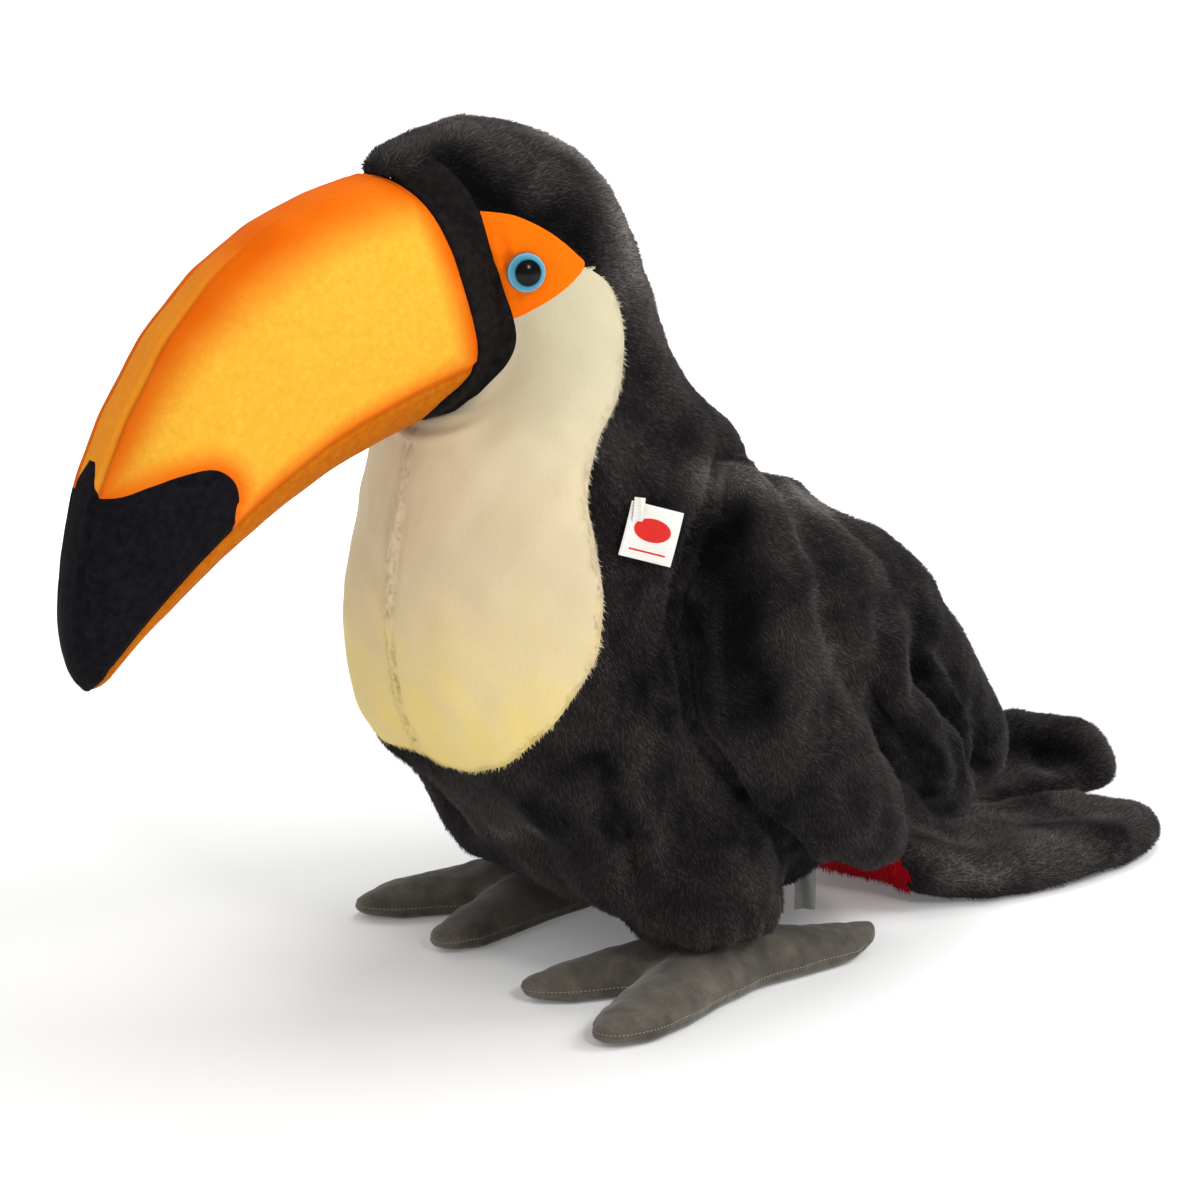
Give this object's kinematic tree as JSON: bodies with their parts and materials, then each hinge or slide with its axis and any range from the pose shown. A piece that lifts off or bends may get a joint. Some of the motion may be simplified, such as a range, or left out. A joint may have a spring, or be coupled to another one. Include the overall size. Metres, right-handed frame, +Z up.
{
  "type": "stuffed plush toucan toy",
  "caption": "Large standing soft-toy toucan with a stuffed velour bill, plush body, folded wings, flat suede feet and a tail laid out behind.",
  "frame": {"origin": "middle of the bounding box's base, on the floor that the toy stands on", "axes": "+Z up, the bird faces -Y with its tail towards +Y, and its left side is +X"},
  "size_m": [0.39, 1.0376, 0.6674],
  "materials": {
    "black_plush": "long brushed pile",
    "cream_plush": "short dense pile",
    "yellow_velour": "shaved velour with sprayed orange edges",
    "orange_velour": "shaved velour",
    "black_velour": "shaved velour",
    "orange_felt": "pressed felt",
    "blue_eye_plastic": "polished dome",
    "grey_suede": "microsuede with a fine twill",
    "red_plush": "short pile",
    "white_card": "coated card",
    "white_ribbon": "woven ribbon",
    "grey_satin": "woven satin"
  },
  "bodies": {
    "root": {"bill_upper": "yellow_velour", "bill_tip": "black_velour", "bill_under_strip": "orange_velour", "bill_band": "black_velour", "eye_left": "blue_eye_plastic", "eye_right": "blue_eye_plastic", "eye_patch_left": "orange_felt", "eye_patch_right": "orange_felt", "foot_left": "grey_suede", "foot_right": "grey_suede", "leg_left": "black_plush", "leg_right": "black_plush", "vent_patch": "red_plush", "tail_left": "black_plush", "tail_right": "black_plush", "wing_left": "black_plush", "wing_right": "black_plush", "bib_left": "cream_plush", "bib_right": "cream_plush", "head": "black_plush", "neck": "black_plush", "trunk": "black_plush", "swing_tag": "white_card", "tag_ribbon": "white_ribbon", "sewn_label": "grey_satin"}
  },
  "joints": []
}
